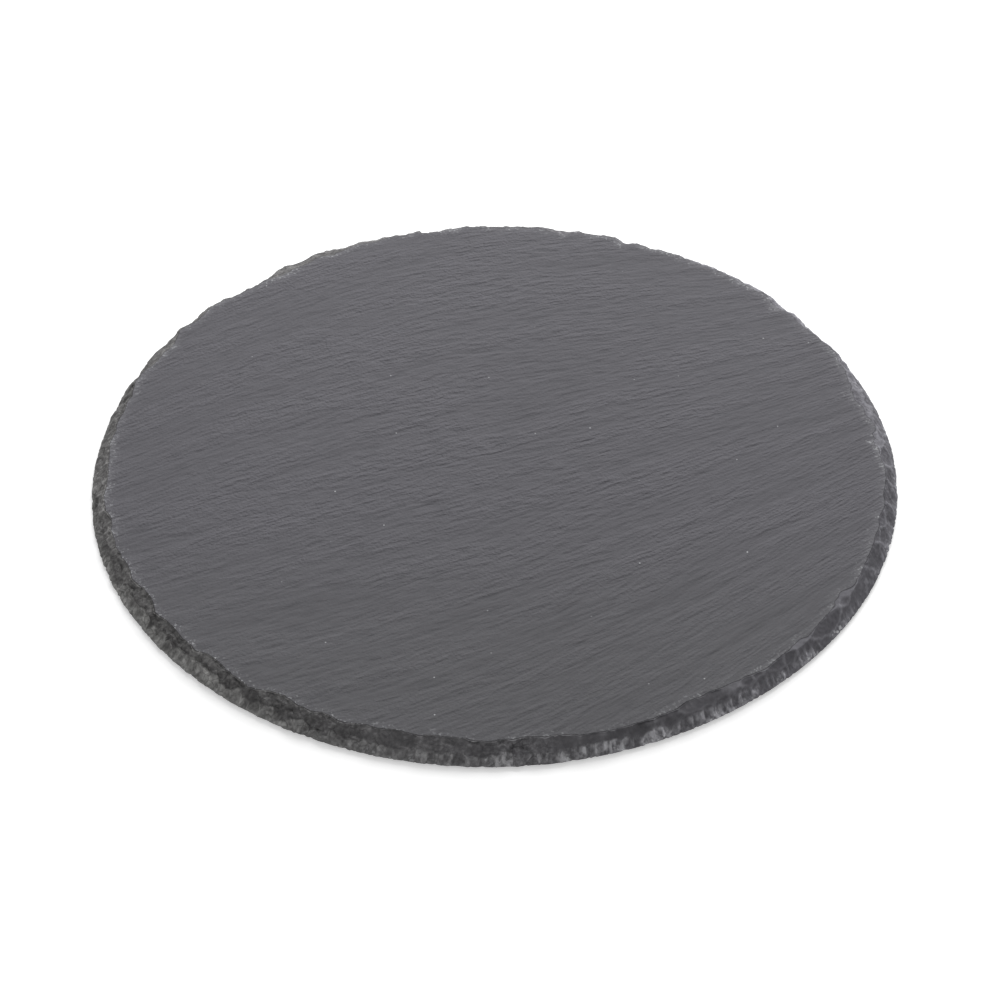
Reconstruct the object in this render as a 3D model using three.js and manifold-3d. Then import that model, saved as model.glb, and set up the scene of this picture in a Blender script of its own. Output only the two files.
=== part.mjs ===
// Round serving plate split from natural slate, with a knapped rim, on four stick-on foam feet.
// Millimetres, +Z up. The origin lies on the table under the middle of the plate.
// Bearings are degrees round the plate from its front (-Y), turning towards its right (+X).

import * as THREE from 'three';
import { mergeVertices } from 'three/addons/utils/BufferGeometryUtils.js';
import Module from 'manifold-3d';

// Slate sheet
const PLATE_DIAMETER = 300;
const SLATE_THICKNESS = 6;
const RIM_DRAFT = 4.4; // the struck side leans in by this much from the underside to the face

// Lobes by which the hand-cut outline strays from a true circle: how many, how high, and where one crests
const OUTLINE_LOBES = [
  { count: 3, height: 0.48, crest: -9 },
  { count: 4, height: 0.11, crest: -42 },
  { count: 5, height: 0.24, crest: -4 },
];

// The front, where the break has two tiers: fluted low down and flaked above. It fades out towards its reach.
const FRONT_MIDDLE = -15;
const FRONT_CORE = 32;
const FRONT_REACH = 72;

// Thumbnail scars: the row of narrow flutes of mixed width low down on the front of the rim
const THUMBNAIL_PITCH = 3.6;
const THUMBNAIL_SPREAD = 0.5; // share of the pitch by which a width strays
const THUMBNAIL_DEPTH = 1.2;
const THUMBNAIL_DEPTH_SPREAD = 0.65;
const THUMBNAIL_DEEPEST = 0.27; // heights as shares of the slate's thickness
const THUMBNAIL_TOP_MIN = 0.57;
const THUMBNAIL_TOP_MAX = 0.93;
const THUMBNAIL_FACETS = 3;
const BACK_THUMBNAIL_SHARE = 0.15;

// Flake scars: the broad hollows struck down from the face, which leave its crisp scalloped lip
const FLAKE_BITE = 6.3; // how far the lip is set in from the rim
const FLAKE_BITE_SPREAD = 2.6;
const FLAKE_RUN_OUT = 4.2; // height above the underside where a scar leaves the side
const FLAKE_RUN_OUT_SPREAD = 1.6;
const FLAKE_HOLLOW = 0.8; // depth of the hollow under a straight bevel
const FLAKE_HOLLOW_SPREAD = 0.6;
const FLAKE_BULGE = 7; // half height of the hollow's ellipsoid
const FLAKE_OVERLAP = 1.28; // a scar's own width over the width that its neighbours leave
const FLAKE_FACETS_AROUND = 26;
const FLAKE_FACETS_ACROSS = 14;
const FIRST_FLAKE_BEARING = -4;
const FRONT_FLAKE_WIDTHS = [15, 11, 10, 13, 20, 9, 17, 6, 13, 13, 9, 18, 14, 13, 14]; // in order to the right
const OTHER_FLAKE_WIDTH_MIN = 8;
const OTHER_FLAKE_WIDTH_MAX = 17;

// Away from the front a scar runs down nearly the whole side, and some are flat facets just under the lip
const BACK_BITE = 5.1;
const BACK_RUN_OUT = 1.4;
const BACK_HOLLOW_SHARE = 0.65;
const BACK_OVERLAP = 1.08;
const FACET_SHARE = 0.3;
const FACET_BITE = 7.2;
const FACET_DROP = 1; // from the face down to a facet's end
const FACET_HOLLOW = 0.15;

// Retouch: small later flakes that break up the lip here and there
const RETOUCH_SPACING = 28;
const RETOUCH_WIDTH_MIN = 6;
const RETOUCH_WIDTH_MAX = 10;
const RETOUCH_BITE = 5.6;
const RETOUCH_BITE_SPREAD = 1.6;
const RETOUCH_RUN_OUT = 4.4;
const RETOUCH_HOLLOW = 0.6;

// The deep bite at the back left, where a large flake came off through the whole thickness
const BITE_BEARING = 222.5;
const BITE_WIDTH = 24;
const BITE_DEPTH = 2.4; // how far it cuts into the outline
const BITE_LIP = 4.6; // how far its lip is set in from the rim
const BITE_HOLLOW = 0.9;

// Stick-on feet
const FOOT_COUNT = 4;
const FIRST_FOOT_BEARING = 45;
const FOOT_DIAMETER = 14;
const FOOT_THICKNESS = 1;
const FOOT_EDGE_ROUND = 0.25;
const FOOT_FROM_RIM = 45; // from the rim to the middle of a foot
const FOOT_SIDES = 40;
const ADHESIVE_THICKNESS = 0.2;
const ADHESIVE_MARGIN = 0.5; // the film stops short of the foot's edge by this much

// Levels above the table
const ADHESIVE_LEVEL = FOOT_THICKNESS;
const SLATE_LEVEL = FOOT_THICKNESS + ADHESIVE_THICKNESS;

const RIM_RADIUS = PLATE_DIAMETER / 2;
const RIM_LENGTH = Math.PI * PLATE_DIAMETER;
const UP = new THREE.Vector3(0, 0, 1);
const { degToRad, lerp, smoothstep } = THREE.MathUtils;

const slateMaterial = new THREE.MeshStandardMaterial({ color: 0x66666a, roughness: 0.78, metalness: 0 });
const foamMaterial = new THREE.MeshStandardMaterial({ color: 0x1d1d1f, roughness: 0.95, metalness: 0 });
const adhesiveMaterial = new THREE.MeshStandardMaterial({ color: 0xd9d6c8, roughness: 0.4, metalness: 0 });

const wasm = await Module();
wasm.setup();

// A repeatable number from 0 to 1 for each index, with one series per salt.
function chance(index, salt) {
  const wave = Math.sin(index * 12.9898 + salt * 78.233) * 43758.5453;
  return wave - Math.floor(wave);
}

// A repeatable number from -half to half of the spread.
function stray(spread, index, salt) {
  return spread * (chance(index, salt) - 0.5);
}

function sum(numbers) {
  return numbers.reduce((total, number) => total + number, 0);
}

function solidFrom(geometry) {
  geometry.deleteAttribute('normal');
  geometry.deleteAttribute('uv');
  const welded = mergeVertices(geometry);
  const corners = welded.index.array;
  const triangles = [];
  for (let i = 0; i < corners.length; i += 3) {
    const [a, b, c] = corners.slice(i, i + 3);
    if (a !== b && b !== c && c !== a) triangles.push(a, b, c);
  }
  const vertProperties = new Float32Array(welded.attributes.position.array);
  const triVerts = new Uint32Array(triangles);
  return new wasm.Manifold(new wasm.Mesh({ numProp: 3, vertProperties, triVerts }));
}

function geometryFrom(solid) {
  const { vertProperties, triVerts } = solid.getMesh();
  const geometry = new THREE.BufferGeometry();
  geometry.setAttribute('position', new THREE.BufferAttribute(vertProperties, 3));
  geometry.setIndex(new THREE.BufferAttribute(triVerts, 1));
  geometry.computeVertexNormals();
  return geometry;
}

// A lathe turned upright, so that its axis is Z and its seam is at the front.
function upright(profile, segments) {
  const points = profile.map(([radius, height]) => new THREE.Vector2(radius, height));
  return new THREE.LatheGeometry(points, segments).rotateX(Math.PI / 2);
}

// The outward direction at a bearing.
function outward(bearing) {
  const angle = degToRad(bearing);
  return new THREE.Vector3(Math.sin(angle), -Math.cos(angle), 0);
}

// 1 along the front of the rim and 0 along the far sides and the back.
function towardsFront(bearing) {
  const nearness = (angle) => Math.cos(degToRad(angle));
  return smoothstep(nearness(bearing - FRONT_MIDDLE), nearness(FRONT_REACH), nearness(FRONT_CORE));
}

function outlineWander(bearing) {
  const swing = ({ count, height, crest }) => height * Math.cos(count * degToRad(bearing - crest));
  return sum(OUTLINE_LOBES.map(swing));
}

// How far the leaning side lies inside the rim at a height.
function sideInset(height) {
  return (RIM_DRAFT * height) / SLATE_THICKNESS;
}

// Columns round the side of the blank, with how deep and how high its flutes are there. A flute has a few
// columns along the front, and only the rib beside it where the flutes have faded out.
function fluteColumns() {
  const count = Math.round(RIM_LENGTH / THUMBNAIL_PITCH);
  const widths = Array.from({ length: count }, (_, i) => 1 + stray(2 * THUMBNAIL_SPREAD, i, 1));
  const turn = 360 / sum(widths);
  const columns = [];
  let reached = 0;
  widths.forEach((width, i) => {
    const depth = THUMBNAIL_DEPTH * width * (1 - THUMBNAIL_DEPTH_SPREAD * chance(i, 2));
    const top = SLATE_THICKNESS * lerp(THUMBNAIL_TOP_MIN, THUMBNAIL_TOP_MAX, chance(i, 10));
    const facets = towardsFront(turn * reached) > 0 ? THUMBNAIL_FACETS : 1;
    for (let facet = 0; facet < facets; facet++) {
      const within = facet / facets;
      const bearing = turn * (reached + width * within);
      const share = lerp(BACK_THUMBNAIL_SHARE, 1, towardsFront(bearing));
      columns.push({ bearing, top, hollow: depth * share * Math.sqrt(1 - (2 * within - 1) ** 2) });
    }
    reached += width;
  });
  return columns;
}

// The blank's outline at one column, from the middle of the underside to the middle of the face.
function blankProfile({ bearing, top, hollow }) {
  const radius = RIM_RADIUS + outlineWander(bearing);
  const side = (height, sunk = 0) => [radius - sideInset(height) - sunk, height];
  const deepest = side(SLATE_THICKNESS * THUMBNAIL_DEEPEST, hollow);
  return [[0, 0], side(0), deepest, side(top), side(SLATE_THICKNESS), [0, SLATE_THICKNESS]];
}

// The disc before it is flaked: a leaning side with a row of flutes above its lower edge.
function flutedBlank() {
  const columns = fluteColumns();
  const profiles = columns.map(blankProfile);
  const rows = profiles[0].length;
  const blank = upright(profiles[0], columns.length);
  const place = blank.attributes.position;
  for (let i = 0; i < place.count; i++) {
    const column = Math.floor(i / rows) % columns.length;
    const [radius, height] = profiles[column][i % rows];
    const point = outward(columns[column].bearing).multiplyScalar(radius);
    place.setXYZ(i, point.x, point.y, height);
  }
  return solidFrom(blank);
}

// The ellipsoid that takes out one flake. In the plane of its bearing the scar runs from the lip, which lies on
// the face and is set in from the rim by bite, to the height runOut on the leaning side, cut back there by
// depth. It sinks below that straight bevel by hollow, and it is width wide along the rim.
function flake({ bearing, width, bite, runOut, depth = 0, hollow }) {
  const out = outward(bearing);
  const lip = out.clone().multiplyScalar(RIM_RADIUS - bite).addScaledVector(UP, SLATE_THICKNESS);
  const end = out.clone().multiplyScalar(RIM_RADIUS - sideInset(runOut) - depth).addScaledVector(UP, runOut);
  const down = end.clone().sub(lip);
  const chord = down.length();
  down.normalize();
  const along = new THREE.Vector3().crossVectors(UP, out);
  const away = new THREE.Vector3().crossVectors(down, along);
  const section = Math.sqrt(1 - (1 - hollow / FLAKE_BULGE) ** 2);
  const centre = lip.clone().lerp(end, 0.5).addScaledVector(away, FLAKE_BULGE - hollow);
  const cutter = new THREE.SphereGeometry(1, FLAKE_FACETS_AROUND, FLAKE_FACETS_ACROSS);
  cutter.scale(chord / 2 / section, width / 2 / section, FLAKE_BULGE);
  const axes = new THREE.Matrix4().makeBasis(down, along, away);
  cutter.applyMatrix4(axes.setPosition(centre));
  return solidFrom(cutter);
}

// Widths of the scars in order along the rim: the listed ones, then others of mixed width until it is full.
function flakeWidths() {
  const widths = [...FRONT_FLAKE_WIDTHS];
  while (RIM_LENGTH - sum(widths) > OTHER_FLAKE_WIDTH_MAX) {
    widths.push(lerp(OTHER_FLAKE_WIDTH_MIN, OTHER_FLAKE_WIDTH_MAX, chance(widths.length, 3)));
  }
  return [...widths, RIM_LENGTH - sum(widths)];
}

// Flake scars side by side all round the rim.
function rimFlakes() {
  let reached = 0;
  return flakeWidths().map((width, index) => {
    const bearing = FIRST_FLAKE_BEARING + (360 * (reached + width / 2)) / RIM_LENGTH;
    const front = towardsFront(bearing);
    const scar = {
      bite: lerp(BACK_BITE, FLAKE_BITE, front),
      runOut: lerp(BACK_RUN_OUT, FLAKE_RUN_OUT, front),
      hollow: FLAKE_HOLLOW * lerp(BACK_HOLLOW_SHARE, 1, front),
    };
    const facet = { bite: FACET_BITE, runOut: SLATE_THICKNESS - FACET_DROP, hollow: FACET_HOLLOW };
    const { bite, runOut, hollow } = chance(index, 7) < FACET_SHARE * (1 - front) ? facet : scar;
    reached += width;
    return flake({
      bearing,
      width: width * lerp(BACK_OVERLAP, FLAKE_OVERLAP, front),
      bite: bite + stray(FLAKE_BITE_SPREAD, index, 4),
      runOut: runOut + stray(FLAKE_RUN_OUT_SPREAD, index, 5),
      hollow: hollow * (1 + stray(FLAKE_HOLLOW_SPREAD, index, 6)),
    });
  });
}

function retouchFlakes() {
  const count = Math.round(RIM_LENGTH / RETOUCH_SPACING);
  return Array.from({ length: count }, (_, i) =>
    flake({
      bearing: (360 / count) * (i + chance(i, 7)),
      width: lerp(RETOUCH_WIDTH_MIN, RETOUCH_WIDTH_MAX, chance(i, 8)),
      bite: RETOUCH_BITE + stray(RETOUCH_BITE_SPREAD, i, 9),
      runOut: RETOUCH_RUN_OUT,
      hollow: RETOUCH_HOLLOW,
    }),
  );
}

function deepBite() {
  return flake({
    bearing: BITE_BEARING,
    width: BITE_WIDTH,
    bite: BITE_LIP + BITE_DEPTH,
    runOut: 0,
    depth: BITE_DEPTH,
    hollow: BITE_HOLLOW,
  });
}

function slatePlate() {
  let slate = flutedBlank();
  for (const cutter of [...rimFlakes(), ...retouchFlakes(), deepBite()]) slate = slate.subtract(cutter);
  const mesh = new THREE.Mesh(geometryFrom(slate), slateMaterial);
  mesh.name = 'slate_plate';
  mesh.position.z = SLATE_LEVEL;
  return mesh;
}

// A die-cut foam disc with a worn lower edge.
function footPad(number) {
  const radius = FOOT_DIAMETER / 2;
  const profile = [
    [0, 0],
    [radius - FOOT_EDGE_ROUND, 0],
    [radius, FOOT_EDGE_ROUND],
    [radius, FOOT_THICKNESS],
    [0, FOOT_THICKNESS],
  ];
  const mesh = new THREE.Mesh(upright(profile, FOOT_SIDES), foamMaterial);
  mesh.name = `foot_pad_${number}`;
  return mesh;
}

function footAdhesive(number) {
  const radius = FOOT_DIAMETER / 2 - ADHESIVE_MARGIN;
  const film = new THREE.CylinderGeometry(radius, radius, ADHESIVE_THICKNESS, FOOT_SIDES);
  film.rotateX(Math.PI / 2).translate(0, 0, ADHESIVE_THICKNESS / 2);
  const mesh = new THREE.Mesh(film, adhesiveMaterial);
  mesh.name = `foot_adhesive_${number}`;
  mesh.position.z = ADHESIVE_LEVEL;
  return mesh;
}

function feet() {
  const set = new THREE.Group();
  for (let i = 0; i < FOOT_COUNT; i++) {
    const foot = new THREE.Group();
    const bearing = FIRST_FOOT_BEARING + (360 / FOOT_COUNT) * i;
    foot.position.copy(outward(bearing).multiplyScalar(RIM_RADIUS - FOOT_FROM_RIM));
    foot.add(footPad(i + 1), footAdhesive(i + 1));
    set.add(foot);
  }
  return set;
}

const plate = new THREE.Group();
plate.add(slatePlate(), feet());

export default plate;
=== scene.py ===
"""Looks of a round slate serving plate: the knapped stone, its foam feet and their adhesive films.

Lengths are in metres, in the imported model's frame. Bearings are angles round the plate from its front (-Y),
turning towards its right (+X).
"""

import math

import bmesh
import bpy
import numpy as np
from bpy.props import FloatProperty, FloatVectorProperty, IntProperty, PointerProperty
from mathutils import Matrix, Vector, noise


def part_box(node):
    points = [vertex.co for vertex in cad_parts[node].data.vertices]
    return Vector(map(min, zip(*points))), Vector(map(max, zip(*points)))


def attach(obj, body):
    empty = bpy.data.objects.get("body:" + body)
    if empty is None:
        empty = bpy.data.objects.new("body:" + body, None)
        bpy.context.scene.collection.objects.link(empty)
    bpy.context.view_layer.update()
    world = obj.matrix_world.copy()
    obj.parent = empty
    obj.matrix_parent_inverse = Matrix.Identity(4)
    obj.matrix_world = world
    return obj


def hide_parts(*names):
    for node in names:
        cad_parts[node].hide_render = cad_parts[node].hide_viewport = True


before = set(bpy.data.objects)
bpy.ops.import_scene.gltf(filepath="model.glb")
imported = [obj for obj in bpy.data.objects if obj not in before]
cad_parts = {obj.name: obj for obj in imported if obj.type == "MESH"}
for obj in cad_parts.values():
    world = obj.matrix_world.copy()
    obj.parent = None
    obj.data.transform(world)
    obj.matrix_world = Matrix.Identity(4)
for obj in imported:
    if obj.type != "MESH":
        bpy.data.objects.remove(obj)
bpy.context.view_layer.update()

bl_info = {
    "name": "Slate serving plate",
    "version": (1, 0, 0),
    "blender": (4, 5, 0),
    "location": "View3D > Sidebar > Slate",
    "description": "Builds a knapped slate serving plate on foam feet, with its studio",
    "category": "Object",
}

MM = 0.001
DEGREE = math.pi / 180
TURN = 2 * math.pi


# Numbers and noise

def chance(index, salt):
    """A repeatable number from 0 to 1 for each index, with one series per salt."""
    wave = math.sin(index * 12.9898 + salt * 78.233) * 43758.5453
    return wave - math.floor(wave)


def mix(low, high, share):
    return low + (high - low) * share


def smooth(low, high, value):
    """0 below low, 1 above high, and an even rise between them."""
    share = np.clip((value - low) / (high - low), 0, 1)
    return share * share * (3 - 2 * share)


def rough(x, y, z):
    """Smooth noise from -1 to 1, one value for each point of the arrays."""
    x, y, z = np.broadcast_arrays(x, y, z)
    values = [noise.noise(p) for p in zip(x.flat, y.flat, z.flat)]
    return np.array(values).reshape(x.shape)


class Stretch:
    """A stretch of the rim round a middle bearing in degrees: 1 along it and 0 away from it.

    Start and full are cosines of the angle from its middle at which the rise starts and ends.
    """

    def __init__(self, middle, start, full):
        self.middle = middle * DEGREE
        self.start = start
        self.full = full

    def at(self, bearings):
        return smooth(self.start, self.full, np.cos(bearings - self.middle))


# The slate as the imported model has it
SLATE_LOW, SLATE_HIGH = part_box("slate_plate")
SLATE_SPAN = SLATE_HIGH - SLATE_LOW
RIM_RADIUS = (SLATE_SPAN.x + SLATE_SPAN.y) / 4
RIM_LENGTH = TURN * RIM_RADIUS
THICKNESS = SLATE_SPAN.z
UNDERSIDE = SLATE_LOW.z

# How finely the stone is drawn, with the bearings and heights of its rim
COLUMNS = 1800
LEVELS = 73
BEARINGS = np.arange(COLUMNS) * TURN / COLUMNS
HEIGHTS = np.linspace(0, THICKNESS, LEVELS)
OUTWARDS = np.stack([np.sin(BEARINGS), -np.cos(BEARINGS), 0 * BEARINGS], axis=1)
RIM_ROWS = 25
LIP_CROWDING = 1.3
RING_INSET = 0.6 * MM
RING_SMOOTHING = 4
GRID_GAP = 0.9 * MM
RIM_CREASE = 24 * DEGREE
FACE_CREASE = 30 * DEGREE
FOOT_CREASE = 50 * DEGREE
FACE_CELL = (3 * MM, 0.7 * MM)
UNDER_CELL = (4.5 * MM, 4.5 * MM)

# The knapped rim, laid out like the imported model's. Along the front its break has two tiers
FRONT = Stretch(-15, math.cos(72 * DEGREE), math.cos(32 * DEGREE))
BACK = Stretch(180, 0.0, 0.6)
RIM_DRAFT = 4.4 * MM
OUTLINE_LOBES = ((3, 0.48 * MM, -9 * DEGREE), (4, 0.11 * MM, -42 * DEGREE), (5, 0.24 * MM, -4 * DEGREE))
THUMBNAIL_PITCH = 3.6 * MM
THUMBNAIL_WIDTHS = (0.5, 1.5)
THUMBNAIL_DEPTH = 1.2 * MM
THUMBNAIL_DEPTH_SPREAD = 0.65
THUMBNAIL_TOPS = (0.57 * THICKNESS, 0.93 * THICKNESS)
THUMBNAIL_LEAST = 0.01 * MM
THUMBNAIL_FOOT = 0.15
THUMBNAIL_FOOT_RISE = 0.35
FLAKE_BITE = 6.3 * MM
FLAKE_BITE_SPREAD = 2.6 * MM
FLAKE_RUN_OUT = 4.2 * MM
FLAKE_RUN_OUT_SPREAD = 1.6 * MM
FLAKE_HOLLOW = 0.8 * MM
FLAKE_HOLLOW_SPREAD = 0.6
FLAKE_BULGE = 7 * MM
FLAKE_OVERLAP = 1.28
BACK_OVERLAP = 1.08
BACK_BITE = 5.1 * MM
BACK_RUN_OUT = 1.4 * MM
BACK_HOLLOW_SHARE = 0.65
BACK_THUMBNAIL_SHARE = 0.15
FACET_SHARE = 0.3
FACET_BITE = 7.2 * MM
FACET_DROP = 1 * MM
FACET_HOLLOW = 0.15 * MM
FIRST_FLAKE_BEARING = -4 * DEGREE
FRONT_FLAKE_WIDTHS = [w * MM for w in (15, 11, 10, 13, 20, 9, 17, 6, 13, 13, 9, 18, 14, 13, 14)]
FLAKE_WIDTHS = (8 * MM, 17 * MM)
RETOUCH_SPACING = 28 * MM
RETOUCH_WIDTHS = (6 * MM, 10 * MM)
RETOUCH_BITE = 5.6 * MM
RETOUCH_BITE_SPREAD = 1.6 * MM
RETOUCH_RUN_OUT = 4.4 * MM
RETOUCH_HOLLOW = 0.6 * MM
BITE_BEARING = 222.5 * DEGREE
BITE_WIDTH = 24 * MM
BITE_DEPTH = 2 * MM
BITE_LIP = 4.6 * MM
BITE_HOLLOW = 0.9 * MM

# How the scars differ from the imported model's
SCAR_STRETCH = 3
SCAR_SINK = 0.25 * MM
SCAR_TWIST = 3 * DEGREE
SCAR_STEP = 0.3 * MM
SCAR_RIPPLE = 0.05 * MM
SCAR_RIPPLE_LENGTH = 1.7 * MM
STEEP_SIDE = Stretch(133, 0.8, 0.97)
STEEP_SAVING = 1.5 * MM

# Tones of the scars, the stretches where they are paler, and the reach of an edge between two
SCAR_TONES = (0.9, 1.1)
# The paler stretches are painted light on the scars at the back, on the left and at the front; on the left
# they are partly bruised stone too.
PALER = ((0.4, Stretch(180, -0.1, 0.5)), (0.55, Stretch(-80, 0.92, 1.0)), (0.12, Stretch(-10, 0.85, 1.0)))
SCAR_EDGE_REACH = 3

# Crushed stone between the thumbnail scars and along the foot
CRUSH_DEPTH = 0.8 * MM
CRUSH_TOP = 3.2 * MM
CRUSH_FADE = 1.4 * MM
CRUSH_LOSS = 0.8
RIGHT_SIDE = Stretch(90, 0.2, 0.8)
RIGHT_CRUSH_DROP = 1 * MM
FOOT_CRUSH = 0.6
FOOT_CRUSH_HEIGHTS = (0.6 * MM, 2.6 * MM)
BACK_CRUSHED_SHARE = 0.4
SHADED_FRONT = Stretch(-15, 0.95, 1.0)
SHADED_SHARE = 0.3

# Spalls that run into the lower tier
SPALLED_SIDE = Stretch(-65, 0.3, 0.8)
SPALL_SPACING = 11 * MM
SPALL_WIDTHS = (7 * MM, 13 * MM)
SPALL_LENGTHS = (2.6 * MM, 4.2 * MM)
SPALL_HOLLOW = 0.9 * MM
SPALL_CUT = 0.9 * MM
SPALL_FOOT = 2.1 * MM
SPALL_SHARE = 0.35

# The ragged break and the chips of its edges
RAGGED_PATCH = 26 * MM
RAGGED_RIGHT = Stretch(100, 0.75, 0.97)
RIGHT_RAGGEDNESS = 0.5
BACK_RAGGEDNESS = 0.8
LEDGE_WANDER = ((1.4, 13 * MM, 7.0), (0.5, 4 * MM, 8.0))
LEDGE_LENGTH = 7 * MM
LEDGE_SHARE = 0.5
LEDGE_HEIGHTS = (1 * MM, 2.4 * MM)
LARGE_FACET = 7 * MM
SMALL_FACET = 3 * MM
SMALL_FACET_SHARES = (0.1, 0.9)
FACET_CURVE = 0.3
FACET_RISE = 0.5 * MM
FACET_HEIGHTS = (-0.8 * MM, 1.2 * MM)
SOFT_LIP = 2 * MM
SOFT_LIP_SHARE = 0.7
FINE_GRAIN = 1.2 * MM
FIBRE_WIDTH = 1.1 * MM
FIBRE_LENGTH = 6 * MM
LIP_CHIP = 0.5 * MM
LIP_CHIP_LENGTH = 1.7 * MM
LIP_CHIP_REACH = 1.2 * MM
FOOT_CHIP = 0.3 * MM
FOOT_CHIP_LENGTH = 1.3 * MM
FOOT_CHIP_REACH = 0.9 * MM
FOOT_WEAR = 0.25
NOTCHED_BACK = Stretch(180, 0.0, 0.4)
NOTCH_SPACING = 4 * MM
NOTCH_WIDTHS = (0.3, 0.9)
NOTCH_DEPTH = 0.85 * MM
LIP_WEAR = 0.15 * MM
LIP_WEAR_LENGTH = 3 * MM

# The gap under the uppermost layer
OVERHUNG_FRONT = Stretch(0, 0.0, 0.4)
OVERHANG_LENGTH = 12 * MM
TOP_LAYER = 0.3 * MM
TOP_LAYER_SPREAD = 0.15 * MM
TOP_LAYER_LENGTH = 5 * MM
UNDERCUT_DEPTH = 0.65 * MM

# Marks on the mesh that the finish reads
RIM_MARKS = ("crushed", "rib", "hollow", "tone", "scar_edge")
MARKS = (*RIM_MARKS, "lip", "rim", "edge", "ragged", "dotted")
RIB_WINDOW = 2.2 * MM
RIB_RELIEF = 0.3 * MM
HOLLOW_WINDOW = 1.6 * MM
HOLLOW_RELIEF = 0.9 * MM
BRUISE_REACH = 5 * MM
FRONT_BRUISE_SHARE = 0.5
# Dots of painted highlight along the lip on the left front
DOTS_REACH = 2 * MM
DOTTED_LIP = Stretch(-48, 0.7, 0.95)

# Lines of the split face: they rise and steepen towards the right, and draw together there
GRAIN_RISE = 0.38
GRAIN_STEEPEN = (0.35, 7.5)
GRAIN_GATHER = (1.27, 14.4)
GRAIN_BEND = 1.2 * MM
FACE_SEED = 0.0
UNDER_SEED = 50.0

# Lengths of the face's waves along and across the grain
BROAD_BEND = (40 * MM, 24 * MM)
SHORT_BEND = (11 * MM, 8 * MM)
SWELL_WAVE = (60 * MM, 6 * MM)
RIPPLE_WAVE = (13 * MM, 1.8 * MM)
SCARP_WAVE = (55 * MM, 12 * MM)

# Streaks in the face's finish, as a number to the metre along and across the grain
RIDGES = (170, 560)
SCALES = (150, 430)
FURROWS = (80, 400)
LEDGES = (28, 170)
CLOUDS = (14, 60)

# Grains, chips and stains in the finishes, as a number to the metre
GRAINS = 850
SPECKS = 55
PATCHES = 130
BLOTCHES = 300
CHIPS = 340
FIBRES = (800, 800, 200)
EDGE_CRUMBS = 900
EDGE_DOTS = 1000
FOOT_CRUMBS = 800
FOOT_CRUMB_HEIGHTS = (UNDERSIDE + 0.4 * MM, UNDERSIDE + 2.6 * MM)
FOAM_PORES = 3200
FOAM_DUST = 500
FILM_SMEARS = 420

# Height of the finish's relief in millimetres, and where the far sides begin and end
GRAIN_HEIGHT = 0.33
RIDGE_HEIGHT = 0.3
SCALE_HEIGHT = 0.06
FURROW_HEIGHT = 0.3
LEDGE_HEIGHT = 0.035
FIBRE_HEIGHT = 0.08
BLOTCH_HEIGHT = 0.12
RAGGED_HEIGHT = 0.15
FAR_RIGHT = (0.02, 0.12)
FAR_LEFT = (-0.12, -0.02)

# How strongly each mark shows in the stone's colour, from 0 to 1
CREASE_SHADE_SHOWS = 0.2
SPECKS_SHOW = 0.8
BRUISES_SHOW = 0.14
CRUMBS_SHOW = 0.4
DOT_HIGHLIGHTS_SHOW = 0.6
RIBS_SHOW = 0.12
GRIT_SHOWS = 0.15
LIP_HIGHLIGHT_SHOWS = 0.2
SCAR_EDGE_HIGHLIGHT = 0.14
HOLLOW_SHADE = 0.3
SCAR_EDGE_SHADE = 0.3
THIN_CRACK_SHADE = 0.45

# The stick-on feet
FOOT_ROUNDING = 0.25 * MM
FOOT_PINCH = 0.08 * MM
MERGE_GAP = 0.001 * MM

# The studio
FLOOR_HALF_WIDTH = 4.0
FLOOR_TURNS_WHITE = (0.4, 1.0)
SOFTBOX_SIZE = (1.5, 0.9)
SOFTBOX_PLACE = (0.2, 0.98, 0.83)


# Settings

def a_number(name, description, default, **kind):
    return FloatProperty(name=name, description=description, default=default, **kind)


def a_length(name, description, default):
    return a_number(name, description, default, unit="LENGTH")


def a_colour(name, description, default):
    return FloatVectorProperty(name=name, description=description, default=default, subtype="COLOR", max=2)


class SlateSettings(bpy.types.PropertyGroup):
    swell: a_length("Swell", "Height of the face's broad waves", 0.17 * MM)
    ripple: a_length("Ripple", "Height of the face's ripples", 0.085 * MM)
    scarp: a_length("Scarp", "Height of the steps where a layer ends", 0.08 * MM)
    layer: a_length("Layer", "Thickness of the ledges in the broken rim", 1.2 * MM)
    fracture: a_length("Fracture", "Roughness of the broken rim", 0.22 * MM)
    face_colour: a_colour("Face", "Colour of the split face", (0.122, 0.119, 0.132))
    # Painted shade on the front of the face
    shaded_front_colour: a_colour("Front of the face", "Colour of the face's front", (0.12, 0.1185, 0.127))
    # Colour of the painted shade in the face's furrows
    crease_shade_colour: a_colour("Creases", "Colour in the creases", (0.07, 0.07, 0.078))
    scar_colour: a_colour("Scars", "Colour of the fresh flake scars", (0.099, 0.0975, 0.099))
    # Painted light on the two sides of the break
    left_painted_light: a_colour("Left cast", "Tint of the break on the left", (0.94, 0.93, 0.92))
    right_painted_light: a_colour("Right cast", "Tint of the break on the right", (1.16, 1.15, 1.26))
    crushed_colour: a_colour("Crushed stone", "Colour of the crushed ribs", (0.47, 0.47, 0.465))
    speck_colour: a_colour("Specks", "Colour of the mineral specks", (0.75, 0.76, 0.78))


class FootSettings(bpy.types.PropertyGroup):
    foam_colour: a_colour("Foam", "Colour of the foam", (0.012, 0.012, 0.013))
    film_colour: a_colour("Adhesive", "Colour of the adhesive film", (0.69, 0.66, 0.56))
    sides: IntProperty(name="Sides", description="Segments round a foot", default=96)


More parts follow.
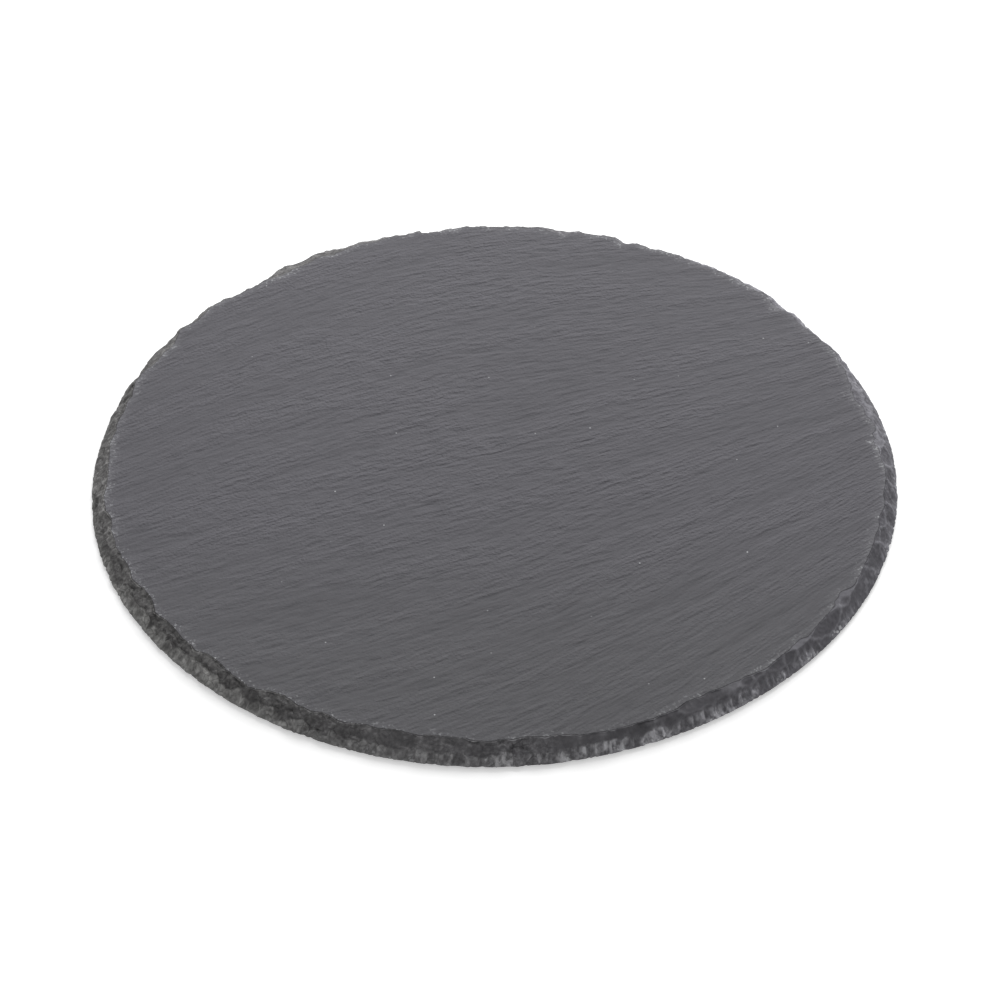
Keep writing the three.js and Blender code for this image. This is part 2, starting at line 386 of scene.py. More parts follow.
class StageSettings(bpy.types.PropertyGroup):
    floor_colour: a_colour("Floor", "Colour of the floor", (0.92, 0.92, 0.92))
    floor_lift: a_number("Floor lift", "Light that the floor adds in the camera's view", 0.45)
    sky: a_number("Sky", "Strength of the even light all round", 0.3)
    softbox_power: a_number("Softbox", "Power of the softbox behind the plate", 19.3, unit="POWER")
    lens: a_number("Lens", "Focal length in millimetres on a 36 mm sensor", 86.4)
    distance: a_length("Distance", "From the camera to its aim", 885.8 * MM)
    elevation: a_number("Elevation", "Height of the view", 42.09 * DEGREE, subtype="ANGLE")
    aim: FloatVectorProperty(
        name="Aim", description="Point that the camera looks at", subtype="TRANSLATION", unit="LENGTH",
        default=(2.1 * MM, -18.2 * MM, 0))
    roll: a_number("Roll", "Tilt of the frame", 0.57 * DEGREE, subtype="ANGLE")


# Shaders

class Signal:
    """One socket of a shader. Arithmetic on it adds Math nodes to the same tree."""

    def __init__(self, shader, socket):
        self.shader = shader
        self.socket = socket

    def maths(self, operation, first, second):
        return self.shader.node("Math", {0: first, 1: second}, operation=operation)

    def __add__(self, other):
        return self.maths("ADD", self, other)

    def __sub__(self, other):
        return self.maths("SUBTRACT", self, other)

    def __rsub__(self, other):
        return self.maths("SUBTRACT", other, self)

    def __mul__(self, other):
        return self.maths("MULTIPLY", self, other)

    __radd__ = __add__
    __rmul__ = __mul__

    def above(self, low, high):
        """What smooth does, in a node."""
        sockets = {"Value": self, "From Min": low, "From Max": high}
        return self.shader.node("MapRange", sockets, interpolation_type="SMOOTHSTEP")


class Shader:
    """The node tree of one material or world."""

    def __init__(self, owner):
        owner.use_nodes = True
        self.owner = owner
        self.tree = owner.node_tree
        self.tree.nodes.clear()

    def node(self, kind, sockets=None, out=0, **settings):
        """Adds a node with its settings and its sockets' values or links. Returns one of its outputs."""
        made = self.tree.nodes.new("ShaderNode" + kind)
        for name, value in settings.items():
            setattr(made, name, value)
        for name, value in (sockets or {}).items():
            if isinstance(value, Signal):
                self.tree.links.new(value.socket, made.inputs[name])
            else:
                made.inputs[name].default_value = value
        return Signal(self, made.outputs[out]) if made.outputs else None

    def blend(self, share, first, second, kind="MIX"):
        """A colour between two, or the two multiplied."""
        sockets = {0: share, 6: opaque(first), 7: opaque(second)}
        return self.node("Mix", sockets, 2, data_type="RGBA", blend_type=kind)

    def shade(self, colour, tone):
        """A colour made darker or lighter by a number."""
        grey = self.node("CombineColor", {0: tone, 1: tone, 2: tone})
        return self.blend(1.0, colour, grey, "MULTIPLY")

    def channel(self, colour, index):
        return self.node("SeparateColor", {0: colour}, index)

    def place(self):
        return self.node("TexCoord", out="Object")

    def axis(self, name):
        return self.node("SeparateXYZ", {0: self.place()}, name)

    def mark(self, name, out="Fac"):
        return self.node("Attribute", out=out, attribute_name=name)

    def stretch(self, vector, scale):
        return self.node("VectorMath", {0: vector, 1: scale}, operation="MULTIPLY")

    def cloud(self, scale, detail=2.0, roughness=0.5, vector=None, dimensions="3D"):
        """Noise from 0 to 1, by place unless another vector is given."""
        vector = vector or self.place()
        sockets = {"Vector": vector, "Scale": scale, "Detail": detail, "Roughness": roughness}
        return self.node("TexNoise", sockets, noise_dimensions=dimensions)

    def streaks(self, count, detail):
        """Noise drawn out along the stone's grain."""
        vector = self.stretch(self.mark("grain", "Vector"), (*count, 0))
        return self.cloud(1.0, detail, 0.5, vector, "2D")

    def cells(self, scale, out, **settings):
        """Cells: the distance to their middle or edge, or a colour drawn for each."""
        return self.node("TexVoronoi", {"Vector": self.place(), "Scale": scale}, out, **settings)

    def bump(self, height, distance, strength):
        return self.node("Bump", {"Strength": strength, "Distance": distance, "Height": height})

    def show(self, surface, kind="Material"):
        """Links a surface to the output, and returns the material or world."""
        self.node("Output" + kind, {"Surface": surface})
        return self.owner

    def principled(self, sockets):
        return self.show(self.node("BsdfPrincipled", sockets))


def opaque(colour):
    return colour if isinstance(colour, Signal) else (*colour, 1.0)


def split_face_finish(shader, look):
    """Colour and height of the split face."""
    x, y = shader.axis("X"), shader.axis("Y")
    grains = shader.cloud(GRAINS)
    ridges = shader.streaks(RIDGES, 0.0)
    scales = shader.streaks(SCALES, 2.0).above(0.47, 0.53)
    furrows = shader.streaks(FURROWS, 1.0)
    ledges = shader.streaks(LEDGES, 1.0).above(0.485, 0.515)
    clouds = shader.streaks(CLOUDS, 2.0)
    far_right = x.above(*FAR_RIGHT)
    far_left = 1 - x.above(*FAR_LEFT)
    # Painted shade: the face's tone is darker towards the front and the far sides, and its front colour is a
    # little darker and less blue; the same share also flattens the fine relief there.
    lit_and_worn = mix(0.54, 1.0, y.above(-0.1, -0.03)) * (1 - 0.25 * far_right - 0.1 * far_left)
    stone = shader.blend(y.above(-0.13, -0.02), look.shaded_front_colour, look.face_colour)
    # Painted shade: the face is darkened towards the crease colour in the low furrows of its relief.
    creases = 1 - furrows.above(0.28, 0.45)
    face = shader.blend(creases * CREASE_SHADE_SHOWS, stone, look.crease_shade_colour)
    face = shader.blend(specks(shader) * SPECKS_SHOW, face, look.speck_colour)
    face = shader.blend(edge_marks(shader), face, look.speck_colour)
    # Painted light: the tone is paler on the ridges and grains of the relief; the clouds are the stone's own
    # tone.
    tone = (0.78 + 0.24 * clouds + 0.1 * ridges + 0.1 * grains) * (0.9 + 0.1 * lit_and_worn)
    # Painted light and shade across the face: lighter on the left, darker right of the middle, and a little
    # lighter again at the far right.
    across = 1.03 - 0.055 * x.above(-0.12, 0.04) + 0.03 * far_right
    fine = GRAIN_HEIGHT * grains + RIDGE_HEIGHT * ridges + SCALE_HEIGHT * scales
    patchy = mix(0.65, 1.35, clouds.above(0.35, 0.65))
    coarse = (FURROW_HEIGHT * furrows + LEDGE_HEIGHT * ledges) * (1 - 0.5 * far_right - 0.2 * far_left)
    return shader.shade(face, tone * across), fine * lit_and_worn * patchy + coarse


def specks(shader):
    """Mineral specks in a few of the cells, each of its own brightness."""
    nearness = shader.cells(SPECKS, "Distance", voronoi_dimensions="2D")
    lot = shader.cells(SPECKS, "Color", voronoi_dimensions="2D")
    drawn = shader.channel(lot, 0).above(0.75, 0.8)
    return (1 - nearness.above(0.008, 0.022)) * drawn * shader.channel(lot, 1)


def edge_marks(shader):
    """Bruises and crumbs on the face beside the lip, and dots of painted highlight along it."""
    edge = shader.mark("edge")
    patches = shader.cloud(PATCHES).above(0.45, 0.65)
    bruises = edge * edge * mix(0.3, 1.0, patches)
    crumbs = shader.cloud(EDGE_CRUMBS, 1.0).above(0.56, 0.68) * edge * mix(0.2, 1.0, patches)
    dots = shader.cloud(EDGE_DOTS, 1.0).above(0.6, 0.68) * shader.mark("dotted")
    return bruises * BRUISES_SHOW + crumbs * CRUMBS_SHOW + dots * DOT_HIGHLIGHTS_SHOW


def broken_rim_finish(shader, look):
    """Colour and height of the broken rim, whose pale ribs are crisp on the right."""
    x, z = shader.axis("X"), shader.axis("Z")
    crushed, rib, scar_edge, lip, ragged = map(shader.mark, ("crushed", "rib", "scar_edge", "lip", "ragged"))
    grains = shader.cloud(GRAINS)
    blotches = shader.cloud(BLOTCHES)
    patches = shader.cloud(PATCHES).above(0.45, 0.65)
    fibres = shader.cloud(1.0, 2.0, 0.6, shader.stretch(shader.place(), FIBRES)).above(0.3, 0.7)
    crispness = x.above(-0.06, 0.02)
    crisp = mix(0.4, 1.15, rib) * mix(0.4, 1.7, fibres) * mix(0.4, 1.5, patches)
    dull = (0.4 + 0.15 * rib + 0.25 * fibres) * mix(0.7, 1.3, blotches.above(0.42, 0.58))
    ribs = crushed * (crisp * crispness + dull * (1 - crispness)) + RIBS_SHOW * rib
    grit = GRIT_SHOWS * ragged * grains.above(0.4, 0.7)
    # Painted highlight: a pale line along the lip, in patches.
    # Painted highlight: the edges between scars are pale on the far right.
    pale = ribs + grit + LIP_HIGHLIGHT_SHOWS * lip * patches + SCAR_EDGE_HIGHLIGHT * scar_edge * x.above(*FAR_RIGHT)
    # Painted light and shade on the break: warmer and a little darker on the left, cooler and brighter on the
    # right.
    cast = shader.blend(x.above(-0.12, 0.15), look.left_painted_light, look.right_painted_light)
    scars = shader.blend(pale, look.scar_colour, look.crushed_colour)
    broken = shader.blend(1.0, scars, cast, "MULTIPLY")
    foot = 1 - z.above(*FOOT_CRUMB_HEIGHTS)
    crumbs = shader.cloud(FOOT_CRUMBS, 1.0).above(0.56, 0.66) * patches * foot
    broken = shader.blend(crumbs * mix(0.7, 0.2, ragged), broken, look.speck_colour)
    # Painted shade along the edges between scars, away from the right.
    scar_edges = scar_edge * mix(0.3, 1.0, patches) * (1 - crispness)
    height = FIBRE_HEIGHT * fibres * crushed + BLOTCH_HEIGHT * blotches + RAGGED_HEIGHT * grains * ragged
    return shader.shade(broken, break_tone(shader, grains, blotches, scar_edges)), height


def break_tone(shader, grains, blotches, scar_edges):
    """Light and dark in the break: blotches, the scars' tones with their painted light, painted shade in the
    hollows and along the edges between scars, and ragged chips.
    """
    stone = (0.45 + 0.7 * blotches + 0.55 * grains) * (1 - HOLLOW_SHADE * shader.mark("hollow"))
    gap = shader.cells(CHIPS, 0, feature="DISTANCE_TO_EDGE")
    thin_cracks = (1 - gap.above(0.0, 0.1)) * blotches.above(0.46, 0.58)
    chip_tone = shader.channel(shader.cells(CHIPS, "Color"), 0)
    chips = (0.24 * chip_tone - 0.1 - THIN_CRACK_SHADE * thin_cracks) * shader.mark("ragged")
    return stone * shader.mark("tone") * (1 - SCAR_EDGE_SHADE * scar_edges) * (1 + chips)


def slate_finish(look):
    shader = Shader(bpy.data.materials.new("slate"))
    rim = shader.mark("rim").above(0.45, 0.65)
    face, face_height = split_face_finish(shader, look)
    broken, break_height = broken_rim_finish(shader, look)
    return shader.principled({
        "Base Color": shader.blend(rim, face, broken),
        "Roughness": 0.66 + 0.2 * shader.cloud(GRAINS) + 0.15 * rim,
        "Normal": shader.bump(face_height * (1 - rim) + break_height * rim, MM, 1.0),
        "Specular IOR Level": 0.2,
    })


def foam_finish(look):
    shader = Shader(bpy.data.materials.new("foam"))
    dust = shader.cloud(FOAM_DUST, 3.0, 0.6)
    dusty = [4 * c for c in look.foam_colour]
    return shader.principled({
        "Base Color": shader.blend(dust.above(0.45, 0.8) * 0.5, look.foam_colour, dusty),
        "Roughness": 0.8 + 0.2 * dust,
        "Normal": shader.bump(shader.cells(FOAM_PORES, 0), 0.1 * MM, 0.6),
        "Specular IOR Level": 0.3,
    })


def film_finish(look):
    shader = Shader(bpy.data.materials.new("adhesive"))
    smears = shader.cloud(FILM_SMEARS, 3.0, 0.6)
    smeared = [0.72 * c for c in look.film_colour]
    return shader.principled({
        "Base Color": shader.blend(smears.above(0.4, 0.75), look.film_colour, smeared),
        "Roughness": 0.25 + 0.3 * smears,
        "Normal": shader.bump(smears, 0.05 * MM, 0.4),
    })


# Scars of the rim

class Flake:
    """The ellipsoid that takes out one flake of the rim: hollow across, and nearly straight downwards.

    Its lip and end are given as (inset from the rim, height). A twist turns it about its own length.
    """

    def __init__(self, bearing, width, hollow, lip, end, twist=0.0, tone=1.0):
        # Painted light: the scar's tone is raised along the paler stretches.
        self.tone = tone * (1 + sum(more * stretch.at(bearing) for more, stretch in PALER))
        out = np.array([math.sin(bearing), -math.cos(bearing), 0.0])
        up = np.array([0.0, 0.0, 1.0])
        lip, end = [out * (RIM_RADIUS - inset) + up * height for inset, height in (lip, end)]
        chord = np.linalg.norm(end - lip)
        down = (end - lip) / chord
        level = np.cross(up, out)
        along = level * math.cos(twist) + np.cross(down, level) * math.sin(twist)
        away = np.cross(down, along)
        section = math.sqrt(1 - (1 - hollow / FLAKE_BULGE) ** 2)
        half_sizes = np.array([SCAR_STRETCH * chord / 2 / section, width / 2 / section, FLAKE_BULGE])
        lift = FLAKE_BULGE * math.sqrt(1 - (section / SCAR_STRETCH) ** 2)
        self.blow = lip
        self.centre = (lip + end) / 2 + away * (lift - SCAR_SINK)
        self.to_ball = np.stack([down, along, away]) / half_sizes[:, None]

    def reach(self):
        """How far out from the plate's axis a level line meets the scar, for each bearing and height."""
        out = OUTWARDS @ self.to_ball.T
        start = (np.outer(HEIGHTS, (0, 0, 1)) - self.centre) @ self.to_ball.T
        a = (out * out).sum(axis=1)[:, None]
        b = out @ start.T
        c = (start * start).sum(axis=1) - 1
        inside = b * b - a * c
        met = (-b - np.sqrt(np.maximum(inside, 0))) / a
        return np.where((inside > 0) & (met > 0), met + self.ripples(met), np.inf)

    def ripples(self, radii):
        """Rings in the scar round the place of the blow."""
        x = radii * OUTWARDS[:, :1] - self.blow[0]
        y = radii * OUTWARDS[:, 1:2] - self.blow[1]
        away = np.sqrt(x ** 2 + y ** 2 + (HEIGHTS - self.blow[2]) ** 2)
        return SCAR_RIPPLE * np.sin(TURN * away / SCAR_RIPPLE_LENGTH)


def side_inset(height):
    """How far the drafted side of the blank lies inside the rim at a height."""
    return RIM_DRAFT * height / THICKNESS


def rim_flakes():
    """Scars side by side round the rim: the listed widths first, then others at random."""
    widths = list(FRONT_FLAKE_WIDTHS)
    while RIM_LENGTH - sum(widths) > FLAKE_WIDTHS[1]:
        widths.append(mix(*FLAKE_WIDTHS, chance(len(widths), 3)))
    widths.append(RIM_LENGTH - sum(widths))
    flakes = []
    reached = 0.0
    for index, width in enumerate(widths):
        bearing = FIRST_FLAKE_BEARING + TURN * (reached + width / 2) / RIM_LENGTH
        front = FRONT.at(bearing)
        facet = chance(index, 7) < FACET_SHARE * (1 - front)
        bite = FACET_BITE if facet else mix(BACK_BITE, FLAKE_BITE, front)
        hollow = FACET_HOLLOW if facet else FLAKE_HOLLOW * mix(BACK_HOLLOW_SHARE, 1, front)
        bite -= STEEP_SAVING * STEEP_SIDE.at(bearing)
        run_out = THICKNESS - FACET_DROP if facet else mix(BACK_RUN_OUT, FLAKE_RUN_OUT, front)
        run_out += FLAKE_RUN_OUT_SPREAD * (chance(index, 5) - 0.5)
        flakes.append(Flake(
            bearing=bearing,
            width=width * mix(BACK_OVERLAP, FLAKE_OVERLAP, front),
            hollow=hollow * (1 + FLAKE_HOLLOW_SPREAD * (chance(index, 6) - 0.5)),
            lip=(bite + FLAKE_BITE_SPREAD * (chance(index, 4) - 0.5), THICKNESS),
            end=(side_inset(run_out), run_out),
            twist=0 if facet else SCAR_TWIST * (2 * chance(index, 11) - 1),
            tone=mix(*SCAR_TONES, chance(index, 12)),
        ))
        reached += width
    return flakes


def spaced(spacing, salt):
    """Bearings at about the given distance round the rim."""
    count = round(RIM_LENGTH / spacing)
    return [TURN / count * (i + chance(i, salt)) for i in range(count)]


def retouch_flakes():
    """Small later flakes that break up the lip here and there."""
    return [
        Flake(
            bearing=bearing,
            width=mix(*RETOUCH_WIDTHS, chance(i, 8)),
            hollow=RETOUCH_HOLLOW,
            lip=(RETOUCH_BITE + RETOUCH_BITE_SPREAD * (chance(i, 9) - 0.5), THICKNESS),
            end=(side_inset(RETOUCH_RUN_OUT), RETOUCH_RUN_OUT),
        )
        for i, bearing in enumerate(spaced(RETOUCH_SPACING, 7))
    ]


def deep_bite():
    """The large flake at the back left that came off through the whole thickness."""
    lip = (BITE_LIP + BITE_DEPTH, THICKNESS)
    return Flake(BITE_BEARING, BITE_WIDTH, BITE_HOLLOW, lip, (BITE_DEPTH, 0.0))


def break_inset(height):
    """How far the broken surface lies inside the rim at a height, on the whole."""
    return np.interp(height, (0, FLAKE_RUN_OUT, THICKNESS), (0, side_inset(FLAKE_RUN_OUT), FLAKE_BITE))


def spall_flakes():
    """Chips that run from the scars into the lower tier along the front, more of them on the left."""
    shortest = SPALL_LENGTHS[0]
    flakes = []
    for i, bearing in enumerate(spaced(SPALL_SPACING, 21)):
        if chance(i, 22) > SPALL_SHARE * (1 + SPALLED_SIDE.at(bearing)) * FRONT.at(bearing):
            continue
        top = mix(shortest, THICKNESS + shortest, chance(i, 23))
        low = max(top - mix(*SPALL_LENGTHS, chance(i, 24)), SPALL_FOOT)
        top = max(top, SPALL_FOOT + shortest)
        flakes.append(Flake(
            bearing=bearing,
            width=mix(*SPALL_WIDTHS, chance(i, 26)),
            hollow=SPALL_HOLLOW,
            lip=(break_inset(top) + SPALL_CUT * chance(i, 25), top),
            end=(break_inset(low), low),
        ))
    return flakes


def thumbnails():
    """Depth of the row of arched thumbnail scars along the lower edge."""
    count = round(RIM_LENGTH / THUMBNAIL_PITCH)
    order = range(count)
    widths = np.array([mix(*THUMBNAIL_WIDTHS, chance(i, 1)) for i in order])
    depths = THUMBNAIL_DEPTH * widths * [1 - THUMBNAIL_DEPTH_SPREAD * chance(i, 2) for i in order]
    tops = np.array([mix(*THUMBNAIL_TOPS, chance(i, 10)) for i in order])
    ribs = np.append(0, np.cumsum(widths)) * TURN / sum(widths)
    scar = np.minimum(np.searchsorted(ribs, BEARINGS, side="right") - 1, count - 1)
    across = np.clip(2 * (BEARINGS - ribs[scar]) / (ribs[scar + 1] - ribs[scar]) - 1, -1, 1)
    arch = tops[scar] * np.sqrt(1 - np.abs(across) ** 3)
    rise = np.clip(HEIGHTS / np.maximum(arch, THUMBNAIL_LEAST)[:, None], 0, 1)
    hollow = mix(THUMBNAIL_FOOT, 1, smooth(0, THUMBNAIL_FOOT_RISE, rise)) * (1 - rise ** 4)
    depth = depths[scar] * np.sqrt(1 - across ** 2) * mix(BACK_THUMBNAIL_SHARE, 1, FRONT.at(BEARINGS))
    return depth[:, None] * hollow


def rim_field():
    """Radius of the rim at each bearing and height, how crushed the stone is, its tone, and the edges between
    its scars.
    """
    flakes = [*rim_flakes(), *retouch_flakes(), deep_bite(), *spall_flakes()]
    reaches = np.array([flake.reach() for flake in flakes])
    struck = reaches.min(axis=0)
    wander = sum(height * np.cos(count * (BEARINGS - crest)) for count, height, crest in OUTLINE_LOBES)
    scooped = RIM_RADIUS + wander[:, None] - side_inset(HEIGHTS) - thumbnails()
    scar = np.where(scooped < struck, -1, reaches.argmin(axis=0))
    tones = np.array([*(flake.tone for flake in flakes), 1.0])
    steps = np.array([*(SCAR_STEP * (chance(i, 13) - 0.5) for i in range(len(flakes))), 0.0])
    radii = np.minimum(scooped, struck) - steps[scar]
    return radii, crush(struck - scooped), tones[scar], scar_edges(scar)


def crush(depth):
    """How crushed the stone is, from the depth of the thumbnail scars below the flakes."""
    top = CRUSH_TOP - RIGHT_CRUSH_DROP * RIGHT_SIDE.at(BEARINGS)[:, None]
    crushed = smooth(0, CRUSH_DEPTH, depth) * (1 - CRUSH_LOSS * smooth(0, CRUSH_FADE, HEIGHTS - top))
    low_down = FOOT_CRUSH * (1 - smooth(*FOOT_CRUSH_HEIGHTS, HEIGHTS))
    unshaded = 1 - SHADED_SHARE * SHADED_FRONT.at(BEARINGS)
    share = mix(BACK_CRUSHED_SHARE, 1, FRONT.at(BEARINGS)) * unshaded
    return np.maximum(crushed, low_down) * share[:, None]


def scar_edges(scar):
    """1 where two scars meet, from the number of the scar at each place."""
    rows = np.arange(LEVELS)
    near = []
    for across, up in np.ndindex(3, 3):
        moved = np.clip(rows + SCAR_EDGE_REACH * (up - 1), 0, rows[-1])
        near.append(np.roll(scar, across - 1, axis=0)[:, moved])
    return (np.ptp(near, axis=0) > 0).astype(float)


# Finer breaks of the rim

def rim_noise(cell, level, bearings=BEARINGS):
    """Noise round the rim, with cells of the given length, at one level or at a row of levels."""
    x = np.sin(bearings) * RIM_RADIUS / cell
    y = -np.cos(bearings) * RIM_RADIUS / cell
    if np.ndim(level):
        return rough(x[:, None], y[:, None], level)
    return rough(x, y, level)


def badly_broken(bearings):
    """1 where the slate came away ragged, mostly on the left and the back, and 0 where it broke clean."""
    patches = rim_noise(RAGGED_PATCH, 3.0, bearings)
    left = smooth(0.1, 0.6, 0.8 * np.cos(bearings - SPALLED_SIDE.middle) + 0.5 * patches)
    right = RIGHT_RAGGEDNESS * RAGGED_RIGHT.at(bearings)
    return np.maximum(np.maximum(left, right), BACK_RAGGEDNESS * BACK.at(bearings))


def break_in_layers(radii, layer, badly):
    """Turns some of the slopes into ledges along the slate's layers."""
    shift = sum(share * rim_noise(cell, level) for share, cell, level in LEDGE_WANDER)
    stack = HEIGHTS / layer + shift[:, None]
    top = np.minimum(HEIGHTS + (np.ceil(stack) - stack) * layer, HEIGHTS[-1])
    index = np.clip(top / HEIGHTS[1], 0, LEVELS - 1.001)
    low = index.astype(int)
    column = np.arange(COLUMNS)[:, None]
    ledge = mix(radii[column, low], radii[column, low + 1], index - low)
    parted = smooth(0.0, 0.35, rim_noise(LEDGE_LENGTH, 1.7 * np.ceil(stack)))
    return mix(radii, ledge, LEDGE_SHARE * badly[:, None] * parted * smooth(*LEDGE_HEIGHTS, HEIGHTS))


def facets(size, seed):
    """Depth of flat breaks, tilted at random, that meet in sharp ridges. It is 0 on the whole."""
    columns = round(RIM_LENGTH / size)
    around = BEARINGS[:, None] / TURN * columns
    up = HEIGHTS[None, :] / size
    column, row = np.floor(around).astype(int), np.floor(up).astype(int)
    lots = np.random.default_rng(seed).random((4, columns, row.max() + 3))
    depth = np.full((COLUMNS, LEVELS), -np.inf)
    for step in np.ndindex(3, 3):
        cell = (column + step[0] - 1) % columns, row + step[1]
        across = around - (column + step[0] - 1) - lots[0][cell]
        along = up - (row + step[1] - 1) - lots[1][cell]
        tilted = (lots[2][cell] - 0.5) * across + (lots[3][cell] - 0.5) * along
        depth = np.maximum(depth, tilted - FACET_CURVE * (across ** 2 + along ** 2))
    return size * (depth - depth.mean())


def fracture(look, crushed, badly):
    """How far the break sinks in below a smooth scar."""
    soft_lip = 1 - SOFT_LIP_SHARE * smooth(THICKNESS - SOFT_LIP, THICKNESS, HEIGHTS)
    large = 0.7 * BACK.at(BEARINGS)[:, None] * facets(LARGE_FACET, 31)
    small = mix(*SMALL_FACET_SHARES, badly)[:, None] * soft_lip * facets(SMALL_FACET, 32)
    fine = 0.3 * rim_noise(FINE_GRAIN, HEIGHTS / MM)
    fibres = crushed * (0.5 + rim_noise(FIBRE_WIDTH, HEIGHTS / FIBRE_LENGTH + 9))
    sink = (large + small + look.fracture * (fine + fibres)) * smooth(*FACET_HEIGHTS, HEIGHTS)
    return np.maximum(sink, -FACET_RISE) + edge_chips() + notches()


def edge_chips():
    """Depth of the chips of the lip and of the foot, which is worn all along too."""
    lip = smooth(0.05, 0.5, rim_noise(LIP_CHIP_LENGTH, 4.0))[:, None]
    foot = FOOT_WEAR + smooth(0.1, 0.5, rim_noise(FOOT_CHIP_LENGTH, 6.0))[:, None]
    near_lip = smooth(THICKNESS - LIP_CHIP_REACH, THICKNESS, HEIGHTS)
    near_foot = 1 - smooth(0, FOOT_CHIP_REACH, HEIGHTS)
    return lip * LIP_CHIP * near_lip + foot * FOOT_CHIP * near_foot


def notches():
    """Depth of the angular chips through the edge along the sides and the back."""
    count = round(RIM_LENGTH / NOTCH_SPACING)
    around = BEARINGS / TURN * count
    cell = np.floor(around).astype(int)
    places, widths, feet, lips = np.random.default_rng(33).random((4, count))
    depth = np.zeros((COLUMNS, LEVELS))
    for step in (-1, 0, 1):
        notch = (cell + step) % count
        across = np.abs(around - cell - step - places[notch]) / mix(*NOTCH_WIDTHS, widths[notch])
        chip = mix(feet[notch, None], lips[notch, None], HEIGHTS / THICKNESS) ** 2
        depth = np.maximum(depth, chip * (1 - across)[:, None])
    return NOTCH_DEPTH * NOTCHED_BACK.at(BEARINGS)[:, None] * depth


def undercut():
    """Depth of the gap under the uppermost layer, which overhangs in places along the front."""
    overhung = smooth(-0.15, 0.3, rim_noise(OVERHANG_LENGTH, 9.0)) * OVERHUNG_FRONT.at(BEARINGS)
    layer = TOP_LAYER + TOP_LAYER_SPREAD * rim_noise(TOP_LAYER_LENGTH, 10.0)
    layers_down = (THICKNESS - HEIGHTS)[None, :] / layer[:, None]
    gap = smooth(0.5, 1.3, layers_down) * (1 - smooth(1.4, 3.2, layers_down))
    return UNDERCUT_DEPTH * overhung[:, None] * gap


def relief(radii):
    """How far each point stands out as an upright rib, and lies back in a hollow, both from 0 to 1."""
    columns = round(RIB_WINDOW * COLUMNS / RIM_LENGTH)
    steps = round(HOLLOW_WINDOW * LEVELS / THICKNESS)
    around = np.mean([np.roll(radii, i, axis=0) for i in range(-columns, columns + 1)], axis=0)
    tall = np.pad(around, ((0, 0), (steps, steps)), mode="reflect", reflect_type="odd")
    level = np.mean([tall[:, i:i + LEVELS] for i in range(2 * steps + 1)], axis=0)
    return np.clip((radii - around) / RIB_RELIEF, 0, 1), np.clip((level - radii) / HOLLOW_RELIEF, 0, 1)


# The split faces

def wave_noise(along, across, wave, level):
    return rough(along / wave[0], across / wave[1], level)


def grain_place(x, y, seed):
    """Distances along and across the grain, whose lines bend and wander."""
    gather = 1 + GRAIN_GATHER[0] * x + GRAIN_GATHER[1] * x ** 2
    rise = GRAIN_RISE * x + GRAIN_STEEPEN[0] * x ** 2 + GRAIN_STEEPEN[1] * x ** 3
    along = x + GRAIN_RISE * y
    across = y * gather - rise
    broad = wave_noise(along, across, BROAD_BEND, seed)
    short = wave_noise(along, across, SHORT_BEND, seed)
    return along, across + GRAIN_BEND * (broad + 0.4 * short)


def split_face(along, across, look, seed):
    """Depth of a split face below its highest level."""
    swell = wave_noise(along, across, SWELL_WAVE, seed + 1)
    ripple = wave_noise(along, across, RIPPLE_WAVE, seed + 2)
    layer_end = smooth(-0.04, 0.04, wave_noise(along, across, SCARP_WAVE, seed + 5))
    depth = look.swell * (1 + swell) + look.ripple * (1 + ripple) + look.scarp * layer_end
    return np.maximum(depth, 0)


# The stone's mesh

class Rim:
    """Every vertex of the rim by column and row: a ring on the face, the break, a ring on the underside."""

    def __init__(self, look):
        badly = badly_broken(BEARINGS)
        radii, crushed, tone, scar_edge = rim_field()
        radii = break_in_layers(radii, look.layer, badly)
        radii = radii - fracture(look, crushed, badly) - undercut()
        marks = (crushed, *relief(radii), tone, scar_edge)
        break_line = self.resample(self.lip_heights(radii[:, -1:], look), radii, *marks)
        self.lip_radii = break_line[:, 0, 0]
        face_ring = self.ring(self.lip_radii, THICKNESS)
        under_ring = self.ring(break_line[:, -1, 0], 0.0)
        table = np.concatenate([face_ring, break_line, under_ring], axis=1)
        self.rows = table.shape[1]
        self.places = table[..., :2]
        self.marks = dict(zip(RIM_MARKS, np.moveaxis(table[..., 2:], -1, 0)))

    def lip_heights(self, radii, look):
        """Height of the lip at each bearing, below the split face and a little worn."""
        x, y, _ = (OUTWARDS * radii).T
        depth = split_face(*grain_place(x, y, FACE_SEED), look, FACE_SEED)
        wear = LIP_WEAR * (0.5 + 0.5 * rim_noise(LIP_WEAR_LENGTH, 2.0))
        return THICKNESS - depth - wear

    def resample(self, lip_heights, radii, *fields):
        """Radius, height and the other fields at points down each column, closest together near the lip."""
        shares = np.linspace(0, 1, RIM_ROWS) ** LIP_CROWDING
        columns = []
        for column, lip_height in enumerate(lip_heights):
            z = np.append(HEIGHTS[HEIGHTS < lip_height], lip_height)[::-1]
            r = np.interp(z, HEIGHTS, radii[column])
            length = np.append(0, np.cumsum(np.hypot(np.diff(r), np.diff(z))))
            at = shares * length[-1]
            z_at = np.interp(at, length, z)
            others = [np.interp(z_at, HEIGHTS, field[column]) for field in fields]
            columns.append(np.stack([np.interp(at, length, r), z_at, *others], axis=1))
        return np.array(columns)

    def ring(self, edge, height):
        """One row of points inside the edge of a face, which turns gently and has no marks."""
        window = range(-RING_SMOOTHING, RING_SMOOTHING + 1)
        lowest = np.min([np.roll(edge, i) for i in window], axis=0)
        row = np.zeros((COLUMNS, 1, 2 + len(RIM_MARKS)))
        row[:, 0, 0] = np.mean([np.roll(lowest, i) for i in window], axis=0) - RING_INSET
        row[:, 0, 1] = height
        return row


